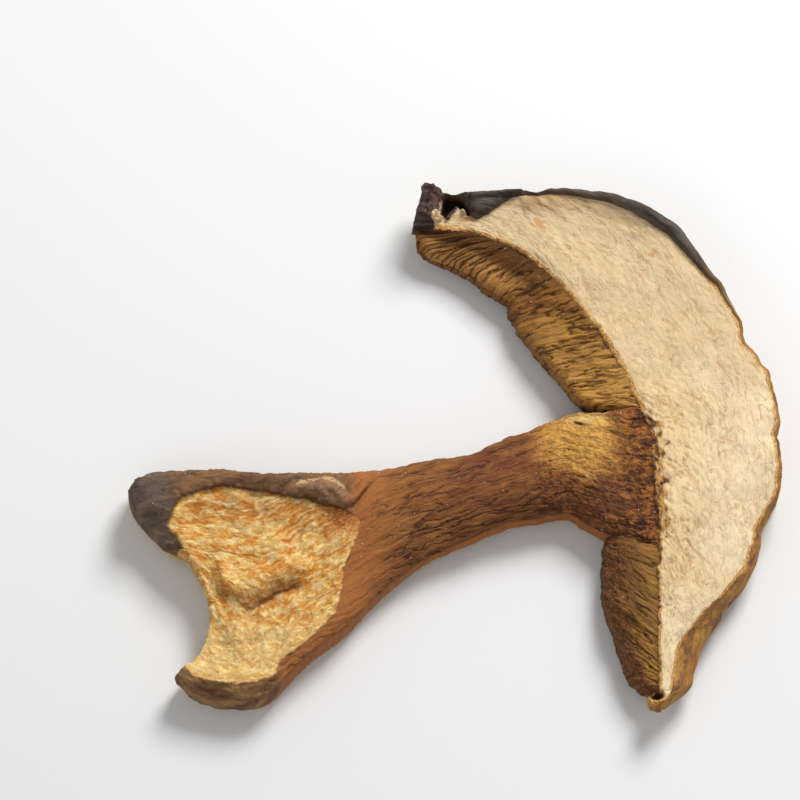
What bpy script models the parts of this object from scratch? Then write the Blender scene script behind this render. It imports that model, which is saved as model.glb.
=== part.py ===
"""One dried slice of a bolete mushroom, lying on its back cut face with its front cut face up.

A knife cut the mushroom lengthwise twice. The front cut passed through the cap and grazed the
swollen foot of the stem, and it missed the slender middle of the stem, which is still round on top.
The slice has four organs: the cap flesh with its skin, the stem, and the tube layer, which the stem
parts into a long arm and a short arm.

Frame: +Z up, X along the longest side from the foot of the stem to the cap, origin on the surface
under the middle of the slice. Every size below is in millimetres; the meshes are in metres.
"""

import math

import bmesh
import bpy
from mathutils import Vector

MM = 0.001
GAP = 0.4  # kept between neighbouring organs, so that their solids never touch

# ---------------------------------------------------------------- cap
# Stations along the crescent, from its curled tip at the far left to its narrow tip near the viewer.
# inner: edge between flesh and tubes. outer: edge between the cut face and the skin.
# skin: where the skin bulges to, past the outer edge. top: heights of the cut face at those edges.
# back: heights of the back face at those edges. The back is level up to FLAT_SHARE of its width.
CAP_STATIONS = (
    # inner x, y      outer x, y     skin x, y      top in, out   back in, out
    ((-6.0, 37.5), (-6.0, 43.0), (-6.5, 44.0), (7.5, 8.5), (3.5, 4.5)),
    ((-1.0, 37.5), (-0.5, 42.0), (-0.5, 44.0), (6.5, 7.5), (2.5, 3.5)),
    ((4.0, 36.0), (4.5, 42.0), (4.5, 44.0), (7.0, 7.5), (1.5, 3.0)),
    ((9.5, 33.5), (10.0, 42.5), (10.0, 44.0), (7.5, 7.5), (0.5, 2.5)),
    ((14.5, 29.5), (15.5, 42.0), (15.5, 44.0), (8.0, 8.0), (0.0, 2.5)),
    ((18.0, 25.5), (23.0, 41.0), (23.0, 43.5), (8.5, 8.0), (0.0, 2.5)),
    ((20.5, 22.5), (30.5, 37.5), (31.0, 40.5), (8.5, 8.0), (0.0, 2.5)),
    ((23.0, 19.0), (36.0, 33.5), (37.0, 36.0), (9.0, 8.0), (0.0, 2.5)),
    ((25.5, 15.0), (41.0, 26.5), (42.5, 28.0), (9.0, 7.5), (0.0, 2.0)),
    ((27.5, 11.0), (45.0, 20.5), (45.5, 22.5), (9.0, 7.5), (0.0, 2.0)),
    ((29.0, 7.0), (48.5, 14.5), (49.0, 15.5), (9.5, 7.0), (0.0, 2.0)),
    ((31.0, 2.5), (51.0, 8.0), (51.5, 9.0), (9.5, 7.0), (0.0, 2.0)),
    ((31.5, -2.5), (51.5, 1.0), (52.0, 1.5), (10.0, 7.0), (0.0, 2.0)),
    ((32.0, -8.5), (51.5, -6.5), (52.0, -6.0), (10.0, 7.0), (0.0, 2.0)),
    ((32.5, -14.0), (49.0, -12.5), (49.5, -12.5), (9.5, 7.0), (0.0, 1.5)),
    ((32.5, -20.0), (47.0, -19.5), (48.0, -19.0), (9.0, 7.0), (0.0, 1.5)),
    ((32.5, -26.0), (43.5, -25.0), (45.5, -24.0), (8.5, 7.0), (0.0, 1.0)),
    ((32.5, -32.0), (37.5, -31.5), (41.5, -30.5), (8.0, 7.0), (0.5, 1.0)),
    ((32.5, -37.5), (35.0, -38.0), (38.0, -37.0), (7.5, 6.5), (1.0, 1.5)),
    ((32.5, -42.5), (33.5, -44.0), (36.5, -42.5), (7.0, 6.5), (2.0, 2.0)),
)

# ---------------------------------------------------------------- tube layer
# edge: place along the cap's inner edge, counted in cap stations. pores: the free edge, where the
# tubes open. top and back: heights at the cap side and at the pores.
LONG_ARM = (
    # edge  pores x, y      top in, out   back in, out
    (0.1, (-6.3, 36.5), (6.5, 6.0), (3.5, 3.5)),
    (1.2, (-5.5, 34.5), (6.0, 5.0), (2.5, 2.5)),
    (2.0, (-4.0, 32.5), (6.0, 4.5), (1.5, 1.5)),
    (2.7, (0.0, 31.0), (6.5, 4.5), (1.0, 1.0)),
    (3.5, (4.5, 29.0), (6.5, 4.5), (0.5, 0.5)),
    (4.2, (7.0, 26.5), (7.0, 4.5), (0.5, 0.5)),
    (5.1, (8.5, 23.5), (7.5, 5.0), (0.5, 0.5)),
    (6.4, (11.0, 20.0), (7.5, 5.0), (0.5, 0.5)),
    (7.6, (13.5, 16.5), (8.0, 5.5), (0.5, 0.5)),
    (8.3, (15.5, 14.0), (8.0, 5.5), (0.5, 0.5)),
    (9.0, (17.5, 11.5), (8.5, 6.0), (0.5, 0.5)),
    (9.7, (20.0, 8.5), (8.5, 6.5), (0.5, 0.5)),
    (10.1, (22.5, 6.5), (8.5, 7.0), (0.5, 0.5)),
)
SHORT_ARM = (
    (14.6, (24.0, -15.0), (8.0, 6.0), (0.5, 0.5)),
    (15.8, (23.8, -18.0), (8.0, 6.0), (0.5, 0.5)),
    (16.6, (23.5, -22.5), (7.5, 5.5), (0.5, 0.5)),
    (17.2, (24.0, -26.5), (7.0, 5.5), (0.5, 0.5)),
    (17.8, (25.5, -31.0), (7.0, 5.5), (1.0, 0.5)),
    (18.4, (27.0, -36.0), (6.5, 5.0), (1.5, 1.0)),
    (18.9, (28.5, -40.0), (6.5, 5.0), (2.0, 1.5)),
)

# ---------------------------------------------------------------- stem
# Stations from the cap to the foot. far and near: the two long edges. dome: how far the middle
# stands over them. bow: how far the station bends towards the cap, which hollows out the foot's end.
STEM_STATIONS = (
    # far x, y       near x, y      top far, near  dome  bow   back
    ((28.6, 5.2), (31.7, -15.2), (8.5, 8.0), 1.0, 0.9, 0.5),
    ((25.5, 5.0), (28.0, -14.8), (8.0, 7.0), 2.0, 0.5, 0.5),
    ((22.0, 5.0), (24.0, -14.0), (7.0, 6.0), 3.0, 0.0, 0.5),
    ((19.5, 5.5), (21.5, -12.5), (6.0, 5.5), 4.0, 0.0, 0.5),
    ((17.0, 5.0), (18.0, -10.5), (6.0, 5.0), 4.5, 0.0, 1.0),
    ((13.5, 3.5), (14.5, -11.0), (5.5, 5.0), 4.5, 0.0, 1.5),
    ((10.0, 2.0), (10.0, -12.0), (5.5, 5.0), 4.5, 0.0, 2.0),
    ((5.5, 0.0), (5.0, -13.5), (5.5, 5.0), 4.5, 0.0, 2.0),
    ((1.5, -1.5), (0.0, -15.5), (5.5, 5.0), 4.5, 0.0, 2.0),
    ((-5.0, -2.0), (-5.0, -18.0), (5.5, 4.5), 4.5, 0.0, 1.5),
    ((-9.5, -3.0), (-9.0, -21.0), (5.5, 4.5), 4.5, 0.0, 1.0),
    ((-14.5, -4.0), (-13.5, -25.0), (6.0, 4.5), 4.0, 0.0, 0.5),
    ((-18.5, -5.0), (-17.5, -30.0), (6.5, 4.5), 3.5, 0.0, 0.0),
    ((-22.5, -5.0), (-22.0, -33.5), (7.0, 5.0), 3.0, 0.5, 0.0),
    ((-26.5, -5.5), (-26.0, -36.5), (7.0, 5.0), 2.5, 1.0, 0.0),
    ((-30.5, -5.5), (-29.0, -40.0), (7.5, 5.5), 2.0, 1.5, 0.0),
    ((-35.5, -4.5), (-32.0, -41.5), (7.5, 5.5), 1.5, 2.5, 0.0),
    ((-39.5, -4.0), (-35.0, -42.0), (7.5, 5.5), 1.0, 3.5, 0.0),
    ((-43.5, -4.0), (-38.0, -41.5), (7.5, 5.5), 0.5, 5.0, 0.0),
    ((-48.0, -4.5), (-41.0, -40.0), (7.0, 5.5), 0.0, 6.5, 0.5),
    ((-52.0, -8.0), (-44.0, -37.5), (6.0, 5.0), 0.0, 7.6, 1.5),
)
EDGE_ROUND = 0.5  # how far the stem's and the tubes' long edges bulge at half height
FLAT_SHARE = 3 / 7  # of the back's width, from its near edge, that lies level
BOW_LEAN = 1.25  # how far the deepest point of the foot's hollow lies towards its far edge
BOW_CURVE = 1.3  # how slowly the hollow starts at its edges
TANGENT_STEP = 0.05  # in stations, either side of a place, for the direction of an edge
SHARP_DEGREES = 50  # edges that turn further than this are shaded sharp

# ---------------------------------------------------------------- mesh density
CAP_RINGS = 54
LONG_ARM_RINGS = 32
SHORT_ARM_RINGS = 16
STEM_RINGS = 56
SPANS = 7  # spans across a face, and across the back under it


def catmull_rom(values, place):
    """The value at a place, counted in stations, of a smooth curve through the stations' values."""
    last = len(values) - 1
    place = min(max(place, 0.0), float(last))
    index = min(int(place), last - 1)
    t = place - index
    before = values[max(index - 1, 0)]
    start, end = values[index], values[index + 1]
    after = values[min(index + 2, last)]

    def blend(p0, p1, p2, p3):
        return 0.5 * (
            2 * p1
            + (p2 - p0) * t
            + (2 * p0 - 5 * p1 + 4 * p2 - p3) * t**2
            + (3 * p1 - p0 - 3 * p2 + p3) * t**3
        )

    if isinstance(start, tuple):
        return tuple(blend(*parts) for parts in zip(before, start, end, after))
    return blend(before, start, end, after)


def column(stations, index):
    """One property of every station."""
    return [station[index] for station in stations]


def mixed(a, b, share):
    return a + (b - a) * share


def on_section(near, far, share, height, bow=0.0):
    """A point on a section: share runs from its near edge to its far edge."""
    x = mixed(near[0], far[0], share) + bow
    y = mixed(near[1], far[1], share)
    return Vector((x, y, height)) * MM


def section_ring(near, far, near_side, far_side, top, back, dome=0.0, bow=0.0):
    """A closed ring: over the face, then down the far side, along the back and up the near side."""
    face, under = [], []
    for step in range(SPANS + 1):
        share = step / SPANS
        shift = bow * bow_shape(share)
        height = mixed(top[0], top[1], share) + dome * math.sin(math.pi * share)
        face.append(on_section(near, far, share, height, shift))
        under.append(on_section(near, far, share, back_height(back, share), shift))
    ring = face + [Vector((*far_side, mixed(back[1], top[1], 0.5))) * MM] + under[::-1]
    if near_side is not None:
        ring.append(Vector((*near_side, mixed(back[0], top[0], 0.5))) * MM)
    return ring


def back_height(back, share):
    """Level near the first edge, then rising in a curve to the second, and never below the ground."""
    rise = max(share - FLAT_SHARE, 0.0) / (1 - FLAT_SHARE)
    return max(mixed(back[0], back[1], rise**2), 0.0)


def bow_shape(share):
    """0 at both edges and 1 past the middle, nearer the second edge."""
    return math.sin(math.pi * share**BOW_LEAN) ** BOW_CURVE if 0 < share < 1 else 0.0


def pushed_out(edge, other, distance):
    """The edge point moved away from the other edge, within the plane."""
    away = Vector(edge) - Vector(other)
    return tuple(Vector(edge) + away.normalized() * distance)


def cap_edge(place, offset=0.0):
    """The cap's inner edge, moved towards the tubes by an offset."""
    inner = column(CAP_STATIONS, 0)
    point = Vector(catmull_rom(inner, place))
    ahead = Vector(catmull_rom(inner, place + TANGENT_STEP))
    behind = Vector(catmull_rom(inner, place - TANGENT_STEP))
    along = (ahead - behind).normalized()
    return tuple(point + Vector((along.y, -along.x)) * offset)


def cap_rings():
    rings = []
    for i in range(CAP_RINGS):
        place = i / (CAP_RINGS - 1) * (len(CAP_STATIONS) - 1)
        inner, outer, skin, top, back = (
            catmull_rom(column(CAP_STATIONS, k), place) for k in range(5)
        )
        rings.append(section_ring(inner, outer, None, skin, top, back))
    return rings


def tube_rings(stations, count):
    rings = []
    for i in range(count):
        place = i / (count - 1) * (len(stations) - 1)
        edge, pores, top, back = (
            catmull_rom(column(stations, k), place) for k in range(4)
        )
        inner = cap_edge(edge, GAP)
        bulge = pushed_out(pores, inner, EDGE_ROUND)
        rings.append(section_ring(inner, pores, None, bulge, top, back))
    return rings


def stem_rings():
    rings = []
    for i in range(STEM_RINGS):
        place = i / (STEM_RINGS - 1) * (len(STEM_STATIONS) - 1)
        far, near, top, dome, bow, back = (
            catmull_rom(column(STEM_STATIONS, k), place) for k in range(6)
        )
        rings.append(
            section_ring(
                far,
                near,
                pushed_out(far, near, EDGE_ROUND),
                pushed_out(near, far, EDGE_ROUND),
                top,
                (back, back),
                dome,
                bow,
            )
        )
    return rings


def close_end(shape, loop):
    """An upright end wall: strips from the face down to the back, which follow a bowed ring."""
    far_side = SPANS + 1
    under = 2 * SPANS + 2  # the back's point under the near edge
    for step in range(SPANS):
        shape.faces.new((loop[step], loop[step + 1], loop[under - step - 1], loop[under - step]))
    shape.faces.new((loop[SPANS], loop[far_side], loop[far_side + 1]))
    if len(loop) > under + 1:
        shape.faces.new((loop[under], loop[under + 1], loop[0]))


def lofted(name, rings, material, collection):
    """A closed solid through rings of equal length."""
    shape = bmesh.new()
    loops = [[shape.verts.new(point) for point in ring] for ring in rings]
    size = len(rings[0])
    for loop, following in zip(loops, loops[1:]):
        for k in range(size):
            other = (k + 1) % size
            shape.faces.new((loop[k], loop[other], following[other], following[k]))
    close_end(shape, loops[0])
    close_end(shape, loops[-1])
    bmesh.ops.recalc_face_normals(shape, faces=shape.faces)
    mesh = bpy.data.meshes.new(name)
    shape.to_mesh(mesh)
    shape.free()
    mesh.shade_smooth()
    mesh.set_sharp_from_angle(angle=math.radians(SHARP_DEGREES))
    mesh.materials.append(material)
    solid = bpy.data.objects.new(name, mesh)
    collection.objects.link(solid)
    return solid


def dry_material(name, colour, roughness):
    material = bpy.data.materials.new(name)
    material.use_nodes = True
    shader = material.node_tree.nodes["Principled BSDF"]
    shader.inputs["Base Color"].default_value = (*colour, 1.0)
    shader.inputs["Roughness"].default_value = roughness
    shader.inputs["Metallic"].default_value = 0.0
    return material


def clear_scene():
    for existing in list(bpy.data.objects):
        bpy.data.objects.remove(existing, do_unlink=True)


def build():
    clear_scene()
    slice_parts = bpy.data.collections.new("dried_bolete_slice")
    bpy.context.scene.collection.children.link(slice_parts)
    flesh = dry_material("cut_flesh", (0.79, 0.65, 0.41), 0.85)
    tubes = dry_material("tubes", (0.19, 0.09, 0.03), 0.8)
    bark = dry_material("stem_surface", (0.24, 0.1, 0.04), 0.75)
    lofted("cap", cap_rings(), flesh, slice_parts)
    lofted("tube_layer_long_arm", tube_rings(LONG_ARM, LONG_ARM_RINGS), tubes, slice_parts)
    lofted("tube_layer_short_arm", tube_rings(SHORT_ARM, SHORT_ARM_RINGS), tubes, slice_parts)
    lofted("stem", stem_rings(), bark, slice_parts)


build()
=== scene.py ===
import math

import bmesh
import bpy
import numpy as np
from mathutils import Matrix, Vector, noise


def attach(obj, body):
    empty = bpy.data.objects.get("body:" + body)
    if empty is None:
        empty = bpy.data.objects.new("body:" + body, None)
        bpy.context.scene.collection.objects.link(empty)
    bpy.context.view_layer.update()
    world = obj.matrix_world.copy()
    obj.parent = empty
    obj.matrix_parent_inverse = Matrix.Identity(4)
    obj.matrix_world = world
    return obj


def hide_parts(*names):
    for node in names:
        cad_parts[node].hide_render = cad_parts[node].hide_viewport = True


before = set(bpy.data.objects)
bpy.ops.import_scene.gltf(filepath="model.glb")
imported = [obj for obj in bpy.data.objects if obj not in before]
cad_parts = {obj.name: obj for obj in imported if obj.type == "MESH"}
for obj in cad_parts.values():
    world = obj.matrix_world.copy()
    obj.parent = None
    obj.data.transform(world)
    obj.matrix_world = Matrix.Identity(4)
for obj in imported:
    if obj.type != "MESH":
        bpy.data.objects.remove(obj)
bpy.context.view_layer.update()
mm = 0.001


# small helpers
def spline(rows, places):
    # smooth curve through the rows, read at places counted in rows
    rows = np.array(rows, float)
    last = len(rows) - 1
    places = np.clip(places, 0, last)
    index = np.minimum(places.astype(int), last - 1)
    t = (places - index)[:, None]
    p0, p1 = rows[np.maximum(index - 1, 0)], rows[index]
    p2, p3 = rows[index + 1], rows[np.minimum(index + 2, last)]
    return 0.5 * (2 * p1 + (p2 - p0) * t + (2 * p0 - 5 * p1 + 4 * p2 - p3) * t**2
                  + (3 * p1 - p0 - 3 * p2 + p3) * t**3)


def evenPlaces(rows, count):
    # places that are the same distance apart along the middle line between the first two points
    dense = np.linspace(0, len(rows) - 1, 3000)
    line = spline(rows, dense)
    middle = (line[:, 0:2] + line[:, 2:4]) / 2
    run = np.append(0, np.cumsum(np.hypot(*np.diff(middle, axis=0).T)))
    places = np.interp(np.linspace(0, run[-1], count), run, dense)
    return places, np.linspace(0, run[-1], count)


def ease(x, low, high):
    # 0 below low, 1 above high, smooth between; low may be the larger
    t = np.clip((x - low) / (high - low), 0, 1)
    return t * t * (3 - 2 * t)


def waver(values, size, seed):
    return np.array([noise.noise((v / size, seed, 0.5)) for v in values]) * 1.6


def field(x, y, size, seed):
    flat = np.stack([x.ravel(), y.ravel()], 1) / size
    return np.array([noise.noise((a, b, seed)) for a, b in flat]).reshape(x.shape) * 1.6


def wander(values, rows):
    return sum(height * waver(values, size, seed) for height, size, seed in rows)


def uneven(x, y, rows):
    return sum(height * field(x, y, size, seed) for height, size, seed in rows)


def halfRound(x, centre, half):
    return np.sqrt(np.clip(1 - ((x - centre) / half) ** 2, 0, 1))


def bell(x, centre, half):
    return np.exp(-(((x - centre) / half) ** 2))


def blot(x, y, spot):
    # soft spot: centre x, centre y, half width, half height
    return np.exp(-(((x - spot[0]) / spot[2]) ** 2 + ((y - spot[1]) / spot[3]) ** 2))


def outlineDistance(x, y, points):
    return insideDistance(x, y, closedCurve(points))


def insideDistance(x, y, outline):
    # signed distance to a closed outline, positive inside
    flat = np.stack([x.ravel(), y.ravel()], 1)
    best = np.full(len(flat), 1e9)
    inside = np.zeros(len(flat), bool)
    for a, b in zip(outline, np.roll(outline, -1, axis=0)):
        run = b - a
        t = np.clip(((flat - a) @ run) / max(run @ run, 1e-12), 0, 1)
        best = np.minimum(best, np.hypot(*(flat - a - t[:, None] * run).T))
        crosses = (a[1] > flat[:, 1]) != (b[1] > flat[:, 1])
        with np.errstate(divide="ignore", invalid="ignore"):
            at = a[0] + (flat[:, 1] - a[1]) / run[1] * run[0]
        inside ^= crosses & (flat[:, 0] < at)
    return np.where(inside, best, -best).reshape(x.shape)


def closedCurve(points, steps=8):
    loop = np.array(points[-2:] + points + points[:2], float)
    places = np.arange(2, 2 + len(points), 1 / steps)
    return spline(loop, places)


def across(start, reach, share):
    # x and y at a share of the way from the start line
    return start[:, :1] + reach[:, :1] * share, start[:, 1:] + reach[:, 1:] * share


def innerShares(steps):
    return np.linspace(0, 1, steps + 1)[1:-1][None, :, None]


def joinParts(face, side, back, wall, faceShares, backShares):
    # rings of points with how many are in each part and their share of the way across
    parts = (face, side, back, wall)
    counts = [part.shape[1] for part in parts]
    shares = np.concatenate([faceShares[0], np.ones(counts[1]), backShares[0], np.zeros(counts[3])])
    return np.concatenate(parts, 1), counts, shares


def roundedEnd(ring, shares, counts, out, radius, spine, rounds=6):
    # extra rings that roll the end of a loft over to a line of spine points, which closes it
    onTop, onBack = slice(counts[0]), slice(counts[0] + counts[1], sum(counts[:3]))
    top, back = ring[onTop], ring[onBack]
    topShare, backShare = shares[onTop], shares[onBack]
    order = np.argsort(backShare)

    def middle(share):
        high = np.interp(share, topShare, top[:, 2])
        low = np.interp(share, backShare[order], back[order, 2])
        return (high + low) / 2

    extra = []
    for step in range(1, rounds + 1):
        turn = math.pi / 2 * step / rounds
        share, height, new = shares, math.cos(turn), ring.copy()
        if step == rounds:  # the last ring shuts on the spine
            share, height = np.round(shares * spine) / spine, 0
            for axis in (0, 1):
                new[:, axis] = np.interp(share, topShare, top[:, axis])
        reach = np.interp(share, topShare, radius * np.ones(counts[0])) * math.sin(turn)
        new[:, :2] += out * reach[:, None]
        flat = middle(share)
        new[:, 2] = flat + (new[:, 2] - flat) * height
        extra.append(new)
    return extra


def withEnds(ring, first, last, masks, solidFirst, solidLast):
    # joins the rolled ends to the rings and carries the masks over them; solid masks become 1
    rings = np.concatenate([first[::-1], ring, last], 0)
    for key, values in masks.items():
        head = np.repeat(values[:1], len(first), 0)
        tail = np.repeat(values[-1:], len(last), 0)
        if key == "flow":
            head[:, :, 0] -= np.linalg.norm(np.array(first[::-1]) - ring[0], axis=2)
            tail[:, :, 0] += np.linalg.norm(np.array(last) - ring[-1], axis=2)
        if key in solidFirst:
            head = head * 0 + 1
        if key in solidLast:
            tail = tail * 0 + 1
        masks[key] = np.concatenate([head, values, tail], 0)
    return rings


def loftPiece(name, rings, masks):
    # rings: [ring, point, xyz] in mm; masks: name -> [ring, point]
    count, size = len(rings), len(rings[0])
    points = np.array(rings).reshape(-1, 3) * mm
    shape = bmesh.new()
    number = shape.verts.layers.int.new("number")
    verts = [shape.verts.new(p) for p in points]
    for i, vert in enumerate(verts):
        vert[number] = i
    for i in range(count - 1):
        for k in range(size):
            j = (k + 1) % size
            a, b = i * size, (i + 1) * size
            shape.faces.new((verts[a + k], verts[b + k], verts[b + j], verts[a + j]))
    tips = verts[:size] + verts[-size:]
    bmesh.ops.remove_doubles(shape, verts=tips, dist=1e-7)
    bmesh.ops.recalc_face_normals(shape, faces=shape.faces)
    if shape.calc_volume(signed=True) < 0:
        bmesh.ops.reverse_faces(shape, faces=shape.faces)
    mesh = bpy.data.meshes.new(name)
    shape.to_mesh(mesh)
    shape.free()
    kept = np.empty(len(mesh.vertices), int)
    mesh.attributes["number"].data.foreach_get("value", kept)
    mesh.attributes.remove(mesh.attributes["number"])
    for key, values in masks.items():
        values = np.asarray(values, float)
        if values.ndim == 3:
            layer = mesh.attributes.new(key, "FLOAT_VECTOR", "POINT")
            layer.data.foreach_set("vector", values.reshape(-1, 3)[kept].ravel())
        else:
            layer = mesh.attributes.new(key, "FLOAT", "POINT")
            layer.data.foreach_set("value", values.ravel()[kept])
    mesh.shade_smooth()
    piece = bpy.data.objects.new(name, mesh)
    bpy.context.scene.collection.objects.link(piece)
    return piece


def closedPiece(name, ring, counts, shares, flow, masks, ends, solid=((), ())):
    # masks: name -> values on the face, side, back and wall, or a value on the face alone
    # ends: way out and radius of the two rolled ends; solid: masks that are full on each end
    first, last = (roundedEnd(ring[at], shares, counts, np.array(out), radius, counts[2] - 1)
                   for at, (out, radius) in zip((0, -1), ends))
    layers = {"flow": flow}
    for key, values in masks.items():
        values = values if isinstance(values, tuple) else (values, 0, 0, 0)
        layers[key] = np.concatenate(
            [np.broadcast_to(value, (len(ring), count)) for value, count in zip(values, counts)], 1)
    return loftPiece(name, withEnds(ring, first, last, layers, *solid), layers)


# node helpers: maths on sockets is written as Python
class Sock:
    def __init__(self, maker, out):
        self.maker = maker
        self.out = out

    def calc(self, operation, *others):
        values = dict(enumerate((self, *others)))
        return self.maker.add("ShaderNodeMath", {"operation": operation}, values)

    def __add__(self, other):
        return self.calc("ADD", other)

    def __sub__(self, other):
        return self.calc("SUBTRACT", other)

    def __rsub__(self, other):
        return self.maker.add("ShaderNodeMath", {"operation": "SUBTRACT"}, {0: other, 1: self})

    def __mul__(self, other):
        return self.calc("MULTIPLY", other)

    __radd__ = __add__
    __rmul__ = __mul__

    def larger(self, other):
        return self.calc("MAXIMUM", other)

    def smaller(self, other):
        return self.calc("MINIMUM", other)

    def away(self, level):
        return (self - level).calc("ABSOLUTE")

    def ease(self, low, high):
        values = {"Value": self, "From Min": low, "From Max": high, "To Min": 0.0, "To Max": 1.0}
        return self.maker.add("ShaderNodeMapRange", {"interpolation_type": "SMOOTHSTEP"}, values)


class Maker:
    def __init__(self, tree, shading):
        self.tree = tree
        self.shading = shading

    def add(self, kind, settings=None, values=None, output=None):
        node = self.tree.nodes.new(kind)
        for key, value in (settings or {}).items():
            setattr(node, key, value)
        for key, value in (values or {}).items():
            socket = self.pick(node.inputs, key)
            if isinstance(value, Sock):
                self.tree.links.new(value.out, socket)
            else:
                socket.default_value = value
        if not node.outputs:
            return node
        return Sock(self, self.pick(node.outputs, 0 if output is None else output))

    def pick(self, sockets, key):
        if isinstance(key, int):
            return [s for s in sockets if s.enabled][key]
        return next(s for s in sockets if s.enabled and s.name == key)

    def mask(self, name, kind="FLOAT"):
        if self.shading:
            output = "Fac" if kind == "FLOAT" else "Vector"
            return self.add("ShaderNodeAttribute", {"attribute_name": name}, output=output)
        return self.add("GeometryNodeInputNamedAttribute", {"data_type": kind}, {"Name": name})

    def flow(self):
        return self.mask("flow", "VECTOR" if self.shading else "FLOAT_VECTOR")

    def scaled(self, vector, by):
        return self.add("ShaderNodeVectorMath", {"operation": "MULTIPLY"}, {0: vector, 1: by})

    def noise(self, vector, size, stretch=(1, 1, 1), detail=2.0, rough=0.5, shift=0.0):
        moved = self.scaled(vector, tuple(1 / (size * s) for s in stretch))
        if shift:
            moved = self.add("ShaderNodeVectorMath", {"operation": "ADD"}, {0: moved, 1: (shift,) * 3})
        values = {"Vector": moved, "Scale": 1.0, "Detail": detail, "Roughness": rough}
        return self.add("ShaderNodeTexNoise", {}, values, "Fac")

    def warped(self, vector, size, amount):
        pushed = self.add("ShaderNodeTexNoise", {}, {"Vector": self.scaled(vector, (1 / size,) * 3),
                                                    "Scale": 1.0, "Detail": 2.0}, "Color")
        pushed = self.add("ShaderNodeVectorMath", {"operation": "SUBTRACT"}, {0: pushed, 1: (0.5,) * 3})
        pushed = self.scaled(pushed, (amount, amount, 0))
        return self.add("ShaderNodeVectorMath", {"operation": "ADD"}, {0: vector, 1: pushed})

    def puff(self, vector, size, *more, **others):
        # puffy lumps with sharp creases between them, 0 in the creases
        return (self.noise(vector, size, *more, **others).away(0.5) * 4).smaller(1.0)

    def creases(self, vector, size, width, *more, **others):
        # thin wandering lines, 1 on the line
        return 1 - self.noise(vector, size, *more, **others).away(0.5).ease(0.0, width)

    def turned(self, vector, degrees):
        values = {"Vector": vector, "Angle": math.radians(degrees)}
        return self.add("ShaderNodeVectorRotate", {"rotation_type": "Z_AXIS"}, values)

    def specks(self, vector, size, inner, outer):
        # scattered dots, 1 in the middle
        values = {"Vector": self.scaled(vector, (1 / size,) * 3), "Scale": 1.0}
        return 1 - self.add("ShaderNodeTexVoronoi", {}, values, "Distance").ease(inner, outer)

    def mix(self, factor, a, b):
        a, b = (tint(*colour) if isinstance(colour, tuple) else colour for colour in (a, b))
        return self.add("ShaderNodeMix", {"data_type": "RGBA"}, {"Factor": factor, "A": a, "B": b}, "Result")

    def layers(self, colour, *rows):
        # each row is a factor and the colour that it lays over the ones before
        for factor, over in rows:
            colour = self.mix(factor, colour, over)
        return colour


def tint(red, green, blue):
    # a colour given as 0 to 255 for the screen, as linear light
    def linear(v):
        v /= 255
        return v / 12.92 if v <= 0.04045 else ((v + 0.055) / 1.055) ** 2.4
    return (linear(red), linear(green), linear(blue), 1.0)


def newTree(name, inputs):
    # a geometry tree with one geometry in and out, and a named number for each size
    tree = bpy.data.node_groups.new(name, "GeometryNodeTree")
    tree.interface.new_socket("Geometry", in_out="INPUT", socket_type="NodeSocketGeometry")
    tree.interface.new_socket("Geometry", in_out="OUTPUT", socket_type="NodeSocketGeometry")
    for key, value in inputs.items():
        kind = "NodeSocketMaterial" if isinstance(value, bpy.types.Material) else "NodeSocketFloat"
        tree.interface.new_socket(key, in_out="INPUT", socket_type=kind)
    maker = Maker(tree, shading=False)
    group = tree.nodes.new("NodeGroupInput")
    return maker, {s.name: Sock(maker, s) for s in group.outputs if s.name}


def paint(maker, shape, group):
    # every tree ends the same way
    real = maker.add("GeometryNodeRealizeInstances", {}, {"Geometry": shape})
    painted = maker.add("GeometryNodeSetMaterial", {}, {"Geometry": real, "Material": group["material"]})
    maker.add("NodeGroupOutput", {}, {"Geometry": painted})


def settle(piece, tree, inputs):
    # run a tree on a piece and keep the result as its plain mesh
    layer = piece.modifiers.new(tree.name, "NODES")
    layer.node_group = tree
    for item in tree.interface.items_tree:
        if item.in_out == "INPUT" and item.name in inputs:
            layer[item.identifier] = inputs[item.name]
    depsgraph = bpy.context.evaluated_depsgraph_get()
    mesh = bpy.data.meshes.new_from_object(
        piece.evaluated_get(depsgraph), preserve_all_data_layers=True, depsgraph=depsgraph)
    old = piece.data
    piece.modifiers.remove(layer)
    piece.data = mesh
    bpy.data.meshes.remove(old)
    mesh.name = piece.name
    mesh.shade_smooth()


def reliefTree(name, sizes, heights):
    # moves the surface along its normal by heights(maker, group inputs), in mm, and keeps how
    # deep each crease is for the painted shade that darkens the creases
    maker, group = newTree(name, sizes)
    height, crease = heights(maker, group)
    stored = maker.add(
        "GeometryNodeStoreNamedAttribute", {"data_type": "FLOAT", "domain": "POINT"},
        {"Geometry": group["Geometry"], "Name": "crease", "Value": crease}, "Geometry")
    normal = maker.add("GeometryNodeInputNormal")
    offset = maker.add("ShaderNodeVectorMath", {"operation": "SCALE"},
                       {0: normal, "Scale": height * mm}, "Vector")
    moved = maker.add("GeometryNodeSetPosition", {}, {"Geometry": stored, "Offset": offset})
    spot = maker.add("GeometryNodeInputPosition")
    level = maker.add("ShaderNodeSeparateXYZ", {}, {0: spot}, "Z").larger(0.0)
    east = maker.add("ShaderNodeSeparateXYZ", {}, {0: spot}, "X")
    north = maker.add("ShaderNodeSeparateXYZ", {}, {0: spot}, "Y")
    rested = maker.add("ShaderNodeCombineXYZ", {}, {0: east, 1: north, 2: level})
    resting = maker.add("GeometryNodeSetPosition", {}, {"Geometry": moved, "Position": rested})
    paint(maker, resting, group)
    return maker.tree


def newMaterial(name):
    material = bpy.data.materials.new(name)
    material.use_nodes = True
    shader = material.node_tree.nodes["Principled BSDF"]
    return material, Maker(material.node_tree, shading=True), shader


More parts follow.
